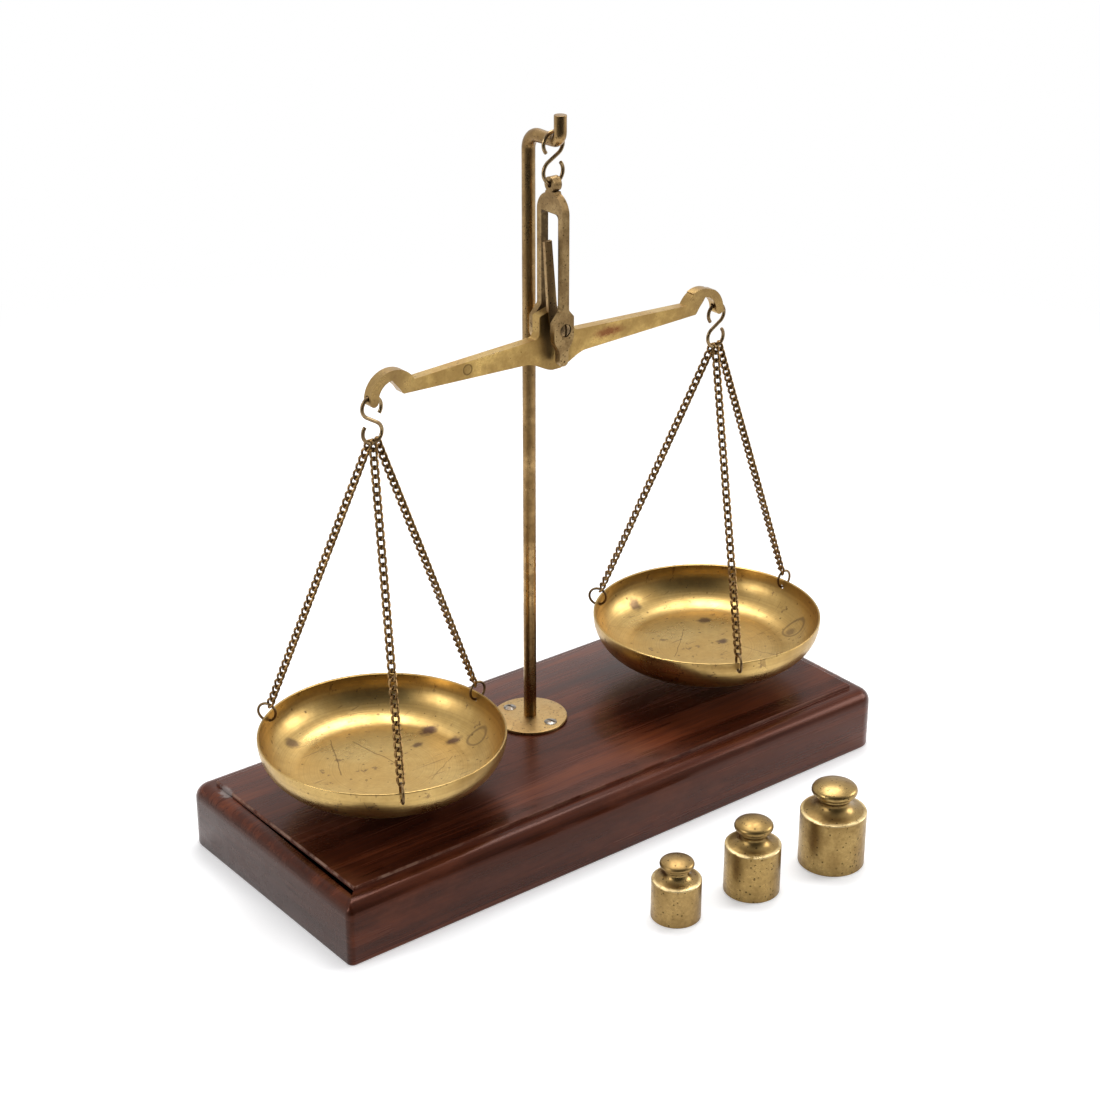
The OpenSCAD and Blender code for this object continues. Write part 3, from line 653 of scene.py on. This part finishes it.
def thickened(drawn, depth):
    """Gives a filled outline a thickness, half to each side."""
    grown = bmesh.ops.extrude_face_region(drawn, geom=drawn.faces[:])
    bmesh.ops.translate(drawn, vec=(0, depth, 0),
                        verts=[v for v in grown["geom"] if isinstance(v, bmesh.types.BMVert)])
    moved(drawn, (0, -depth / 2, 0))
    bmesh.ops.recalc_face_normals(drawn, faces=drawn.faces)
    return drawn


def bar(at, radius, length, axis, segments=40):
    """A round bar or a drill's path along X or Y."""
    drill = bmesh.new()
    bmesh.ops.create_cone(drill, cap_ends=True, segments=segments, radius1=radius, radius2=radius,
                          depth=length)
    return moved(rotated(drill, 90, "Y" if axis == "X" else "X"), at)


bow_z = eye_z - eye_r - shackle_out - 0.2
bow = [(shackle_out * math.sin(math.radians(a)), bow_z + shackle_out * math.cos(math.radians(a)))
       for a in range(22, 90, 6)]
yoke = mirrored(pen((0, eye_z - crown_drop), [
    (crown_half_w, eye_z - crown_drop), (crown_half_w + 0.2, eye_z - crown_drop - 0.6), *bow,
    (shackle_out, cheek_top), (window_half_w, cheek_top), (window_half_w, window_top - window_r),
    (window_half_w - window_r, window_top - window_r, 90, 6), (0, window_top)]))
thickened(yoke, shackle_t)
boss = bar((0, 0, eye_z), eye_r, eye_t, "Y", 48)


def cheek_side(wide, tail_x):
    """Half a cheek's outline: a hollow under the prong, a shoulder, a waist and a round tip."""
    flare_x = shackle_t / 2 + hollow_r * (1 - math.cos(math.radians(45)))
    flare_z = cheek_rise - hollow_r * math.sin(math.radians(45))
    waist_x = tail_x + tail_half_w
    waist = [(waist_x + (wide - waist_x) * (1 + math.cos(math.pi * t / 8)) / 2, pivot.z - 3 - 7.5 * t / 8)
             for t in range(9)]
    tip = shackle_low.z + tail_half_w
    return pen((0, cheek_top + 0.5), [
        (shackle_t / 2, cheek_top + 0.5), (shackle_t / 2, cheek_top),
        (shackle_t / 2 + hollow_r, cheek_top, 45, 5),
        (wide, pivot.z + flare_z - (wide - flare_x) * cheek_slope),
        *waist, (waist_x, tip), (tail_x, tip, -90, 8)])


plates = []
for side in (-1, 1):
    # Each cheek is wider to the left of its prong than to the right.
    plate = cheek_side(cheek_half_w - cheek_shift, -cheek_shift)
    left = cheek_side(cheek_half_w + cheek_shift, cheek_shift)
    bmesh.ops.scale(left, vec=(-1, 1, 1), verts=left.verts)
    joined(plate, left)
    bmesh.ops.remove_doubles(plate, verts=plate.verts, dist=0.001)
    thickened(closed(plate), prong_w)
    plates.append(moved(plate, (0, side * (shackle_w - prong_w) / 2, 0)))
casting = fitted(rotated(yoke, 90, "Z"), [rotated(boss, 90, "Z"), *plates], "UNION")
holes = [bar((0, 0, eye_z), eye_hole_r, 12, "X"), bar((0, 0, pivot.z), bore_r, 40, "Y")]
for side in (-1, 1):
    holes.append(bar((0, side * shackle_out, pivot.z), counterbore_r, 2 * counterbore_deep, "Y"))
    holes.append(bar((-cheek_shift, side * (shackle_out + 0.05), shackle_low.z + 2.2), dimple_r, 0.7, "Y"))
casting = moved(fitted(casting, holes, "DIFFERENCE"), (pivot.x, pivot.y, 0))
made_piece("shackle_casting", casting, "suspension", shackle_brass, ["shackle"],
           sharp=32, edge=0.3)


# The pivot screws: a slotted brass screw in a counterbore in each cheek, gone brown.
# Its plain nose reaches into the beam and carries it.
pivot_brass = aged_brass("pivot_brass", (0.30, 0.20, 0.10), (0.18, 0.12, 0.06), (0.08, 0.05, 0.025),
                         rough=(0.3, 0.42), patch_scale=400.0)
pivot_head_r, pivot_head_h, pivot_sunk, pivot_nose_gap = 2.6, 0.45, 0.2, 0.5
screws = bmesh.new()
for side in (0, 180):
    head = slotted_head(pivot_head_r, pivot_head_h, 1.0, 0.9, shackle_out - pivot_sunk - pivot_nose_gap)
    head = moved(rotated(rotated(head, 90, "Z"), 90, "X"), (0, pivot_sunk - shackle_out, 0))
    joined(screws, rotated(head, side, "Z"))
moved(screws, pivot)
made_piece("pivot_screw_heads", screws, "suspension", pivot_brass, ["pivot_screws"], edge=0.08)


# The beam: sawn and filed from brass plate, with a hump between the cheeks, a bulge
# below them, and an end curled over at each side. Its face is pitted and part worn bright.
beam_t, half_span, curl_r, curl_t, curl_drop = 4.8, 94.4, 11.9, 4.2, 12.3
curl_x = half_span - curl_r + curl_t / 2
curl_in = curl_r - curl_t
notch_x = curl_x - curl_in * 0.63
hump_half_w, hump_h, hump_foot_r, arm_top_in, arm_top_out = 9.2, 8.2, 3, 3.7, 6.4
arm_bottom_in, arm_bottom_out, bulge_h, bulge_half_w = 13.8, 11.7, 5.6, 17.0
tip_hole_r, tip_hole_drop = 1.25, 10.6

beam_brass, tree, shader = surface("beam_brass")
here = point(tree)
veil = patchy(tree, here, 70.0, 0.38, 0.62)
fine = patchy(tree, here, 800.0, 0.35, 0.7)
tone = blended(tree, veil, (0.58, 0.39, 0.13), (0.38, 0.24, 0.078))
tone = tinted(tree, tone, fine, 0.3, (0.26, 0.145, 0.045))
holes = use(tree, pits, Vector=here, Scale=900.0, Size=0.4, Share=0.3)
tone = tinted(tree, tone, holes, 0.6, (0.08, 0.04, 0.016))
# The curled ends have gone brown. The hump between the cheeks is darkened as a painted dark reflection.
outward = maths(tree, "ABSOLUTE", maths(tree, "SUBTRACT", split(tree, here)[0], pivot.x * MM))
tone = tinted(tree, tone, ranged(tree, outward, 0.066, 0.084), 0.6, (0.24, 0.15, 0.065))
# Painted dark reflection on the hump between the cheeks.
tone = tinted(tree, tone, ranged(tree, outward, 0.0105, 0.0075), 0.6, (0.19, 0.115, 0.04))
# The red stain on the right arm, near the cheek, and a plain round punch mark on the left.
front = pivot - Vector((0, beam_t / 2, 0))
stain = away_from(tree, (front + Vector((29, 0, -8.3))) * MM, (0.25, 3.0, 0.9))
frayed = maths(tree, "MULTIPLY", noise(tree, here, 420.0, 4.0), 2.6)
stain = maths(tree, "MULTIPLY", maths(tree, "MULTIPLY_ADD", stain, 1 / MM, frayed), 0.2)
tone = blended(tree, ramp(tree, stain, (0.45, 0.85), (0.8, 0.0)), tone, (0.19, 0.055, 0.022))
mark = away_from(tree, (front + Vector((-47.3, 0, -8.6))) * MM, (100, 100, 100))
dent = ramp(tree, mark, (0.0, 0.3), (0.17, 0.35), (0.22, 1.0), (0.27, 0.0))
tone = tinted(tree, tone, dent, 0.85, (0.09, 0.05, 0.02))
height = maths(tree, "SUBTRACT", maths(tree, "MULTIPLY", fine, 0.3), maths(tree, "ADD", holes, dent))
as_metal(shader, tone, ranged(tree, veil, 0, 1, 0.27, 0.42), height, 0.5, 0.00012)

valley = math.degrees(math.asin((curl_drop - arm_top_out) / curl_r))
valley_x = curl_x - curl_r * math.cos(math.radians(valley))
moves = [
    (hump_half_w - 0.7, hump_h * 0.8), (hump_half_w, hump_h * 0.8 - 0.7),
    (hump_half_w, hump_foot_r - arm_top_in),
    (hump_half_w + hump_foot_r, hump_foot_r - arm_top_in, 90, 8),
    (valley_x, -arm_top_out), (curl_x, -curl_drop, valley - 180, 36), (half_span, -curl_drop, -180, 14),
    (curl_x, -curl_drop, 84, 20),
    (notch_x + 4.2, -curl_drop + curl_in * 0.74), (notch_x + 2.2, -curl_drop + curl_in * 0.45),
    (notch_x + 0.7, -curl_drop + curl_in * 0.16), (notch_x, -arm_bottom_out),
]
moves += [(bulge_half_w * (1 - t / 16), -arm_bottom_in - bulge_h * (1 - math.cos(math.pi * t / 16)) / 2)
          for t in range(15)]
outline = mirrored(pen((hump_half_w * 0.2, hump_h), moves))
# The hump is filed narrower and lower on its right.
filed_in, filed_down, filed_more = 0.9, 2, 1.9
for corner in [v for v in outline.verts if v.co.x > 5 and v.co.z > -2]:
    on_top = corner.co.z > hump_h - filed_down
    corner.co.x -= filed_in + (filed_more if on_top else 0)
    corner.co.z -= filed_down if 0 < corner.co.z < hump_h - filed_down else 0
drills = [bar((side * half_span, 0, -tip_hole_drop), tip_hole_r, 12, "X") for side in (-1, 1)]
plate = moved(fitted(thickened(outline, beam_t), drills, "DIFFERENCE"), pivot)
made_piece("beam_plate", plate, "beam_body", beam_brass, ["beam"], sharp=32, edge=0.6, segments=3)


# The pointer: a thin tapered finger let into the front of the hump. It stands between
# the prongs and leans a little to the left.
pointer_brass = aged_brass("pointer_brass", (0.45, 0.31, 0.14), (0.32, 0.20, 0.09), (0.15, 0.09, 0.04),
                           rough=(0.3, 0.42), pitted=0.45, patch_scale=150.0)
pointer_h, pointer_t, pointer_proud, pointer_foot, pointer_lean = 39, 1.7, 0.4, 2.2, 4.6
finger = mirrored(pen((1.9, pointer_h), [(2.4, pointer_foot), (0, pointer_foot)]))
rotated(thickened(finger, pointer_t), -pointer_lean, "Y")
moved(finger, pivot + Vector((-1.5, pointer_t / 2 - pointer_proud - beam_t / 2, 0)))
made_piece("pointer_finger", finger, "beam_body", pointer_brass, ["pointer"], edge=0.12)


# The end hooks: the same brass wire bent to smaller S hooks, one through the hole in
# each of the beam's tips. They mirror each other and carry the chains.
end_hook_h, end_lobe = 20.4, 4.7
s_hook("left_s_hook", "left_hook", end_hook_h, end_lobe, False)
s_hook("right_s_hook", "right_hook", end_hook_h, end_lobe, True)


# The pans: spun from thin sheet brass, with a round turn from wall to floor and three
# holes under the rim. Inside they are stained, scratched and ringed by the spinning.
pan_low, pan_high = corners("left_pan")
pan_r, pan_depth, pan_turn, pan_t = (pan_high.x - pan_low.x) / 2, pan_high.z - pan_low.z, 18.0, 0.8
ring_drop, ring_hole_r = 3.9, 1.0
chain_turns = {"side": 4, "back": 124, "front": -116}

# Scratches: fine broken lines, drawn out by how the coordinates are stretched.
scratches, given, out = group("scratches", {"Vector": None, "Share": 0.1}, "Mask")
strokes = noise(scratches, given["Vector"], 1.0, 3.0)
thin = maths(scratches, "GREATER_THAN", strokes, maths(scratches, "SUBTRACT", 0.72, given["Share"]))
scratches.links.new(thin, out)


def pan_brass(name, stains, cuts, wet_rings, wiped):
    """Places are in millimetres from the pan's middle, and turns in degrees."""
    at = middle(name)
    made, tree, shader = surface(name + "_brass")
    here = stretched(tree, centre=at * MM)
    veil = patchy(tree, here, 28.0, 0.36, 0.64)
    fine = patchy(tree, here, 420.0, 0.35, 0.7)
    tone = blended(tree, veil, (0.575, 0.395, 0.145), (0.42, 0.27, 0.088))
    tone = tinted(tree, tone, fine, 0.25, (0.30, 0.19, 0.07))
    rings = use(tree, turned, Vector=here, Fineness=1500.0)
    tone = blended(tree, ramp(tree, rings, (0.35, 0.22), (0.6, 0.0)), tone, (0.22, 0.13, 0.05))
    # Dark stains with ragged edges, then small dark freckles.
    ragged = noise(tree, here, 380.0, 5.0)
    dark = 0.0
    for x, y, wide, deep, strength in stains:
        away = away_from(tree, (at + Vector((x, y, 0))) * MM, (1 / MM / wide, 1 / MM / deep, 0))
        away = maths(tree, "MULTIPLY", maths(tree, "ADD", away, ragged), 0.5)
        dark = maths(tree, "MAXIMUM", dark, ramp(tree, away, (0.5, strength), (0.8, 0.0)))
    tone = blended(tree, dark, tone, (0.06, 0.03, 0.03))
    tone = tinted(tree, tone, patchy(tree, here, 200.0, 0.62, 0.67), 0.55, (0.09, 0.05, 0.035))
    # Long single cuts, each a little bowed.
    waver = maths(tree, "MULTIPLY_ADD", noise(tree, here, 150.0, 3.0), 2.4, -1.2)
    for x, y, turn, length, wide in cuts:
        across = split(tree, stretched(tree, (1 / MM, 1 / MM, 1 / MM), turn=(0, 0, -math.radians(turn)),
                                       centre=(at + Vector((x, y, 0))) * MM))
        bowed = maths(tree, "ABSOLUTE", maths(tree, "ADD", across[1], waver))
        along = maths(tree, "LESS_THAN", maths(tree, "ABSOLUTE", across[0]), length / 2)
        cut = maths(tree, "MULTIPLY", maths(tree, "LESS_THAN", bowed, wide), along)
        tone = tinted(tree, tone, cut, 0.65, (0.13, 0.07, 0.025))
    # Rings that something wet has left.
    for x, y, r in wet_rings:
        away = away_from(tree, (at + Vector((x, y, 0))) * MM, (1 / MM, 1 / MM, 0))
        band = ramp(tree, maths(tree, "ABSOLUTE", maths(tree, "SUBTRACT", away, r)), (0.25, 0.7), (0.9, 0.0))
        tone = blended(tree, band, tone, (0.17, 0.105, 0.045))
    # Fine scratches from wiping, which run one way.
    for turn, scale in wiped:
        wiped_way = stretched(tree, scale, turn=(0, 0, turn), centre=at * MM)
        lines = use(tree, scratches, Vector=wiped_way, Share=0.02)
        tone = tinted(tree, tone, lines, 0.5, (0.17, 0.10, 0.045))
    holes = use(tree, pits, Vector=here, Scale=420.0, Size=0.3, Share=0.18)
    tone = tinted(tree, tone, holes, 0.6, (0.08, 0.045, 0.02))
    height = maths(tree, "ADD", maths(tree, "MULTIPLY", rings, 0.5), maths(tree, "MULTIPLY", fine, 0.3))
    as_metal(shader, tone, ranged(tree, veil, 0, 1, 0.27, 0.4), height, 0.4, 0.0001)
    return made


def pan(name, body, finish):
    at = middle(name)
    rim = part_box(name)[1].z / MM
    inner, turn_x, turn_z = pan_r - pan_t, pan_r - pan_turn, pan_turn - pan_depth
    dish = spun(pen((0, -pan_depth), [
        (turn_x, -pan_depth), (turn_x, turn_z, 90, 20), (pan_r, -0.3),
        (inner + 0.4, -0.3, 90, 4), (inner + 0.4, -0.05), (inner, -0.3), (inner, turn_z),
        (turn_x, turn_z, -90, 20), (0, pan_t - pan_depth)]), steps=144)
    drills = [rotated(bar((pan_r, 0, -ring_drop), ring_hole_r, 8, "X"), turn, "Z")
              for turn in chain_turns.values()]
    dish = moved(fitted(dish, drills, "DIFFERENCE"), (at.x, at.y, rim))
    made_piece(name + "_sheet", dish, body, finish, [name])


left_brass = pan_brass(
    "left_pan",
    [(34.5, 14.5, 5, 4, 0.9), (38, 0, 4.5, 3, 0.85), (23, 7, 3, 2.2, 0.75), (-22, 39, 4, 3, 0.7),
     (2, -42, 3, 3, 0.5)],
    [(-11.6, 20, 65, 32, 0.28), (4.5, 12, 99, 31, 0.3), (20, -16, 30, 22, 0.15)],
    [(45, -8, 4.2)],
    [(0.9, (60, 700, 60)), (0.35, (50, 900, 50))])
right_brass = pan_brass(
    "right_pan",
    [(-4.5, 48, 4, 3, 0.75), (18, 21, 4, 3.2, 0.8), (9.5, -1.5, 3.6, 2.6, 0.8), (40, -17, 3, 3, 0.5)],
    [(-8, 10, 40, 30, 0.2), (16, -18, 110, 20, 0.16)],
    [(42, -17, 5)],
    [(1.2, (60, 800, 60)), (0.2, (50, 700, 50))])
pan("left_pan", "left_pan_set", left_brass)
pan("right_pan", "right_pan_set", right_brass)


# The rim rings: a small wire ring through each hole of a pan, over the rim. They are
# shown a little thicker than their solids, as heavy as they look in the photograph.
ring_d, ring_shown_d = 1.0, 1.2
ring_brass = aged_brass("ring_brass", (0.25, 0.165, 0.08), (0.16, 0.10, 0.045), (0.07, 0.04, 0.02),
                        tarnish=(0.35, 0.6), rough=(0.26, 0.4), pitted=0.3, patch_scale=300.0)


def ring_radius(name):
    lowest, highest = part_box(name)
    return (highest.z - lowest.z) / MM / 2 - ring_d / 2


for side in ("left", "right"):
    pan_at = middle(f"{side}_pan")
    for place in chain_turns:
        name = f"{side}_ring_{place}"
        at = middle(name)
        ring = bmesh.new()
        bmesh.ops.create_circle(ring, cap_ends=False, segments=12, radius=ring_shown_d / 2)
        spun(moved(ring, (ring_radius(name), 0, 0)), axis=(0, 1, 0), steps=40)
        rotated(ring, math.degrees(math.atan2(at.y - pan_at.y, at.x - pan_at.x)), "Z")
        moved(ring, at)
        made_piece(name + "_wire", ring, f"{side}_pan_set", ring_brass, [name])


# The chains: curb chain of fine brass wire, each link twisted so that the chain lies
# flat. Three hang side by side on each end hook, end in the rings and roll a little.
link_wire_d, link_inside, link_opening, link_twist, link_count = 1.25, 3.72, 1.45, 40, 39
hung_inside, hung_gap = 3.74, 0.08
seats = {"side": 2.1, "back": -2.1, "front": 0.0}
chain_brass = aged_brass("chain_brass", (0.34, 0.205, 0.08), (0.20, 0.115, 0.042), (0.08, 0.04, 0.016),
                         tarnish=(0.38, 0.6), rough=(0.26, 0.4), pitted=0.2, patch_scale=300.0)


def link():
    """One link, its length along Z and its opening across Y, twisted about its length."""
    bow = (link_opening + link_wire_d) / 2
    side = (link_inside - link_opening) / 2
    wire = bmesh.new()
    bmesh.ops.create_circle(wire, cap_ends=False, segments=6, radius=link_wire_d / 2)
    moved(wire, (0, bow, -side))
    end = wire.edges[:]
    for way in (1, -1):
        end = carried(wire, end, (0, 0, way * side))
        end = carried(wire, end, (0, 0, way * side))
        end = bent(wire, end, (0, 0, way * side), (1, 0, 0), 180, 5)
    bmesh.ops.remove_doubles(wire, verts=wire.verts, dist=0.01)
    for v in wire.verts:
        twist = math.radians(link_twist) * v.co.z / (link_inside / 2)
        bmesh.ops.rotate(wire, cent=(0, 0, 0), matrix=Matrix.Rotation(twist, 3, "Z"), verts=[v])
    bmesh.ops.recalc_face_normals(wire, faces=wire.faces)
    return wire


# How far each chain has rolled from its flat side on its way down, in degrees.
first_rolled = 9
rolls = {("left", "side"): 75, ("left", "back"): 20, ("left", "front"): 0,
         ("right", "side"): 80, ("right", "back"): 70, ("right", "front"): 15}
pattern = bpy.data.meshes.new("link")
made = link()
made.to_mesh(pattern)
made.free()
for side in ("left", "right"):
    lobe_z = corners(f"{side}_s_hook")[0].z + wire_d / 2 + end_lobe
    pan_at = middle(f"{side}_pan")
    for place, x in seats.items():
        ring_name = f"{side}_ring_{place}"
        start = Vector((pan_at.x + x, pan_at.y, lobe_z - math.sqrt(end_lobe * end_lobe - x * x)))
        run = middle(ring_name) - start
        seat = hung_inside / 2 - wire_d / 2 - hung_gap
        pitch = (run.length - ring_radius(ring_name) - 2 * seat - (wire_d - ring_d) / 2) / (link_count - 1)
        aim = Matrix.Rotation(math.atan2(run.y, run.x), 4, "Z")
        aim = aim @ Matrix.Rotation(math.pi - math.acos(-run.z / run.length), 4, "Y")
        # The first links turn their flat side to the front left.
        flat = run.cross(photo_side).normalized()
        aim = aim @ Matrix.Rotation(math.atan2(-flat.dot(aim.col[0].xyz), flat.dot(aim.col[1].xyz)), 4, "Z")
        chain = bmesh.new()
        for k in range(link_count):
            before = len(chain.verts)
            chain.from_mesh(pattern)
            chain.verts.ensure_lookup_table()
            roll = math.radians(rolls[side, place] * max(0, k - first_rolled) / link_count)
            bmesh.ops.transform(
                chain, verts=chain.verts[before:],
                matrix=Matrix.Translation(start) @ aim @ Matrix.Translation((0, 0, seat + k * pitch))
                @ Matrix.Rotation(roll, 4, "Z"))
        made_piece(f"{side}_chain_{place}_links", chain, f"{side}_pan_set", chain_brass,
                   [f"{side}_chain_{place}"], sharp=60)
bpy.data.meshes.remove(pattern)


# The weights: three turned from brass bar, each a cylinder with a sloping shoulder, a
# hollowed neck and a round-edged knob, standing loose beside the plinth. Handling has
# dulled them and worn the top edge of each body bright.
body_share, neck_share, knob_share, knob_low_share, rim_share = 0.65, 0.46, 0.69, 0.85, 0.052
neck_hollow = ((0.30, 0.020), (0.17, 0.040), (0.07, 0.070), (0.01, 0.105), (0, 0.135))
knob_under = ((0.04, 0.808), (0.1, 0.826))
knob_top = ((0.66, 0.975), (0.42, 0.99), (0.2, 0.998), (0, 1))


def weight(name, radius, bright, dull):
    """Heights are shares of the whole height, and widths shares of the radius."""
    at = middle(name)
    lowest, highest = corners(name)
    tall = highest.z - lowest.z
    body_h, knob_low, rim = body_share * tall, knob_low_share * tall, rim_share * tall
    neck_r, knob_r = neck_share * radius, knob_share * radius
    finish = aged_brass(name + "_brass", bright, dull, (0.15, 0.09, 0.035), tarnish=(0.4, 0.62),
                        rough=(0.26, 0.38), pitted=0.35, pit_scale=800.0,
                        turned_about=Vector((at.x, at.y, 0)) * MM, patch_scale=70.0)
    tree = finish.node_tree
    here = point(tree)
    off_edge = maths(tree, "ABSOLUTE", maths(tree, "SUBTRACT", split(tree, here)[2], (body_h - 0.15) * MM))
    edge = ramp(tree, maths(tree, "MULTIPLY", off_edge, 1 / MM), (0.25, 0.8), (0.5, 0.0))
    retoned(finish, maths(tree, "MULTIPLY", edge, patchy(tree, here, 240.0, 0.3, 0.5)), (0.75, 0.58, 0.30))
    solid = spun(pen((0, 0), [
        (radius - 0.4, 0), (radius, 0.4), (radius, body_h - 0.45), (radius - 0.45, body_h - 0.45, 90, 4),
        *[(neck_r + wide * radius, body_h + up * tall) for wide, up in neck_hollow],
        *[(neck_r + wide * radius, up * tall) for wide, up in knob_under],
        (knob_r - rim, knob_low), (knob_r - rim, knob_low + rim, 155, 12),
        *[(knob_r * wide, up * tall) for wide, up in knob_top]]))
    moved(solid, (at.x, at.y, 0))
    made_piece(name + "_turning", solid, name + "_body", finish, [name], sharp=40)


weight("small_weight", 10.85, (0.34, 0.225, 0.085), (0.26, 0.165, 0.06))
weight("medium_weight", 12.35, (0.34, 0.225, 0.08), (0.25, 0.16, 0.055))
weight("large_weight", 14.75, (0.34, 0.23, 0.085), (0.26, 0.165, 0.058))
